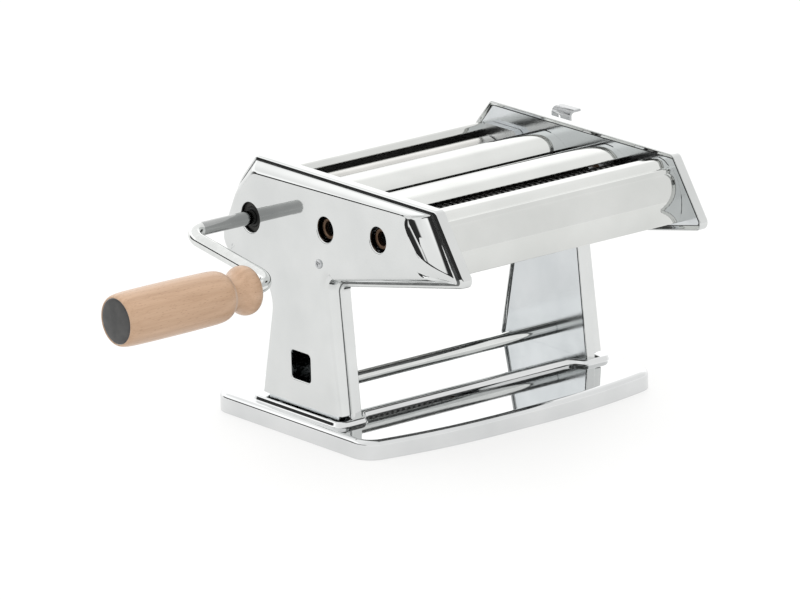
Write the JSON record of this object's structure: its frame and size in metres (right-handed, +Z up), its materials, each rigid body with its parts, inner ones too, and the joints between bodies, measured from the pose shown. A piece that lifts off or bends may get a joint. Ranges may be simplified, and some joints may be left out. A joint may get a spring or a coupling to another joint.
{
  "type": "pasta machine",
  "caption": "Hand-cranked pasta machine with smooth sheeting rollers, wide and narrow cutters, a gap lever and a removable wooden-grip crank, on a chromed base.",
  "frame": {"origin": "centre of the base's underside, on the plane it stands on", "axes": "+X along the rollers, away from the crank; -Y towards the front with the cutters; +Z up"},
  "size_m": [0.3414, 0.223, 0.1538],
  "materials": {
    "chrome_base": "polished chrome plate",
    "chrome_housing": "polished chrome plate",
    "plated_plate": "satin nickel plate",
    "chrome_cover": "polished chrome plate",
    "polished_steel": "polished",
    "cutter_metal": "machined, satin",
    "roller_metal": "ground and anodised",
    "zinc_fasteners": "zinc plated",
    "spring_steel": "cold rolled",
    "gear_steel": "machined",
    "bronze": "machined",
    "rubber": "matte",
    "beech": "lightly varnished",
    "cap_plastic": "fine grain"
  },
  "bodies": {
    "chassis": {"base_plate": "chrome_base", "rubber_feet": "rubber", "base_bolts": "zinc_fasteners", "base_nuts": "zinc_fasteners", "left_housing": "chrome_housing", "right_housing": "chrome_housing", "left_inner_plate": "plated_plate", "right_inner_plate": "plated_plate", "lower_tie_rod": "polished_steel", "upper_tie_rods": "zinc_fasteners", "tie_rod_nuts": "zinc_fasteners", "housing_screws": "zinc_fasteners", "housing_standoffs": "zinc_fasteners", "rear_cover": "chrome_cover", "roller_cover": "chrome_cover", "cutter_cover": "chrome_cover", "front_cover": "chrome_cover", "side_guides": "plated_plate", "rear_scraper": "spring_steel", "front_scraper": "spring_steel", "wide_cutter_combs": "spring_steel", "narrow_cutter_combs": "spring_steel", "roller_bushes": "bronze", "carriage_guides": "zinc_fasteners", "cutter_bushes": "bronze"},
    "rear_roller": {"rear_roller": "roller_metal", "rear_roller_gear": "gear_steel"},
    "crank": {"crank_rod": "polished_steel", "grip_retainer": "zinc_fasteners"},
    "grip": {"wooden_grip": "beech", "grip_end_cap": "cap_plastic"},
    "roller_carriage": {"left_bearing_block": "bronze", "right_bearing_block": "bronze"},
    "front_roller": {"front_roller": "roller_metal", "front_roller_gear": "gear_steel"},
    "gap_lever": {"gap_shaft": "polished_steel", "gap_lever": "polished_steel", "lever_cap_nut": "polished_steel"},
    "wide_cutter_rear": {"wide_cutter_rear": "cutter_metal", "wide_cutter_rear_gear": "gear_steel"},
    "wide_cutter_front": {"wide_cutter_front": "cutter_metal", "wide_cutter_front_gear": "gear_steel"},
    "narrow_cutter_rear": {"narrow_cutter_rear": "cutter_metal", "narrow_cutter_rear_gear": "gear_steel"},
    "narrow_cutter_front": {"narrow_cutter_front": "cutter_metal", "narrow_cutter_front_gear": "gear_steel"}
  },
  "joints": [
    {"name": "crank_turn", "type": "hinge", "parent": "chassis", "child": "rear_roller", "pos_m": [0, 0.0425, 0.118], "axis": [1, 0, 0], "continuous": true},
    {"name": "crank_pull", "type": "slide", "parent": "rear_roller", "child": "crank", "axis": [-1, 0, 0], "range_m": [0, 0.018]},
    {"name": "grip_spin", "type": "hinge", "parent": "crank", "child": "grip", "pos_m": [-0.19, -0.01508, 0.09704], "axis": [1, 0, 0], "continuous": true},
    {"name": "gap_lever_swing", "type": "hinge", "parent": "chassis", "child": "gap_lever", "pos_m": [0, 0.01099, 0.096], "axis": [1, 0, 0], "range_deg": [-53.3, 26.6]},
    {"name": "roller_gap", "type": "slide", "parent": "chassis", "child": "roller_carriage", "axis": [0, 1, 0], "range_m": [-0.00183, 0.00091]},
    {"name": "front_roller_spin", "type": "hinge", "parent": "roller_carriage", "child": "front_roller", "pos_m": [0, 0.0114, 0.118], "axis": [1, 0, 0], "continuous": true},
    {"name": "wide_cutter_turn", "type": "hinge", "parent": "chassis", "child": "wide_cutter_rear", "pos_m": [0, -0.027, 0.125], "axis": [1, 0, 0], "continuous": true},
    {"name": "wide_cutter_follow", "type": "hinge", "parent": "chassis", "child": "wide_cutter_front", "pos_m": [0, -0.047, 0.1266], "axis": [1, 0, 0], "continuous": true},
    {"name": "narrow_cutter_turn", "type": "hinge", "parent": "chassis", "child": "narrow_cutter_rear", "pos_m": [0, -0.075, 0.129], "axis": [1, 0, 0], "continuous": true},
    {"name": "narrow_cutter_follow", "type": "hinge", "parent": "chassis", "child": "narrow_cutter_front", "pos_m": [0, -0.095, 0.1306], "axis": [1, 0, 0], "continuous": true}
  ],
  "couplings": [
    {"joint": "front_roller_spin", "follows": "crank_turn", "ratio": -1},
    {"joint": "gap_lever_swing", "follows": "roller_gap", "rad_per_m": 508.1},
    {"joint": "wide_cutter_follow", "follows": "wide_cutter_turn", "ratio": -1},
    {"joint": "narrow_cutter_follow", "follows": "narrow_cutter_turn", "ratio": -1}
  ]
}
